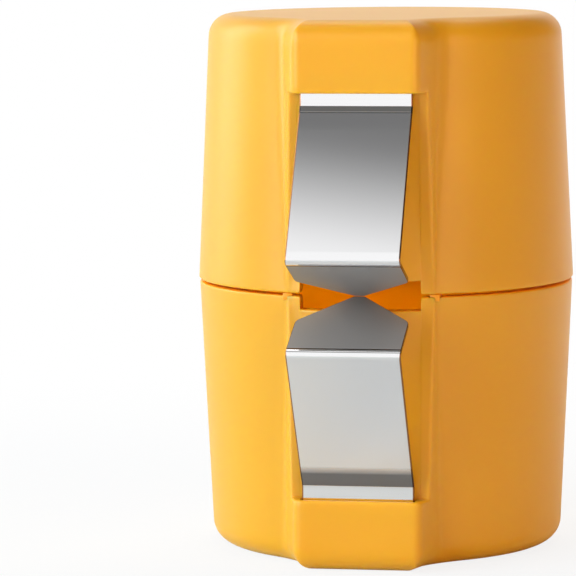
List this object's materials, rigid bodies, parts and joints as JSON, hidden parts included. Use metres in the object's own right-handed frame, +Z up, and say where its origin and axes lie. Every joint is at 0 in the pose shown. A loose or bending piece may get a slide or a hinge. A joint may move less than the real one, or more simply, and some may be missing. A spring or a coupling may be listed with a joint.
{
  "type": "egg shell opener",
  "caption": "Barrel-shaped plastic egg case on a rear living hinge, with sprung steel blades whose points pierce the shell through a front window.",
  "frame": {"origin": "centre of the flat base, on the axis of the barrel", "axes": "+Z up along the barrel axis, -Y towards the blades, +X to the right of someone facing the blades, the living hinge at +Y"},
  "size_m": [0.054, 0.0743, 0.0763],
  "materials": {
    "case_plastic": "satin injection-moulded, orange-yellow",
    "blade_steel": "mirror-polished stainless spring steel"
  },
  "bodies": {
    "lower": {"lower_cup": "case_plastic", "lower_blade_tang": "blade_steel", "hinge_web": "case_plastic"},
    "upper": {"upper_cup": "case_plastic", "upper_blade_tang": "blade_steel"},
    "lower_leaf": {"lower_blade": "blade_steel"},
    "upper_leaf": {"upper_blade": "blade_steel"}
  },
  "joints": [
    {"name": "lid_hinge", "type": "hinge", "parent": "lower", "child": "upper", "pos_m": [0, 0.0318, 0.03815], "axis": [-1, 0, 0], "range_deg": [0, 180], "deforming": ["hinge_web"]},
    {"name": "lower_blade_flex", "type": "hinge", "parent": "lower", "child": "lower_leaf", "pos_m": [0, -0.0283, 0.01195], "axis": [-1, 0, 0], "range_deg": [0, 9], "stiffness_Nm_per_rad": 2.5},
    {"name": "upper_blade_flex", "type": "hinge", "parent": "upper", "child": "upper_leaf", "pos_m": [0, -0.0283, 0.06435], "axis": [1, 0, 0], "range_deg": [0, 9], "stiffness_Nm_per_rad": 2.5}
  ]
}
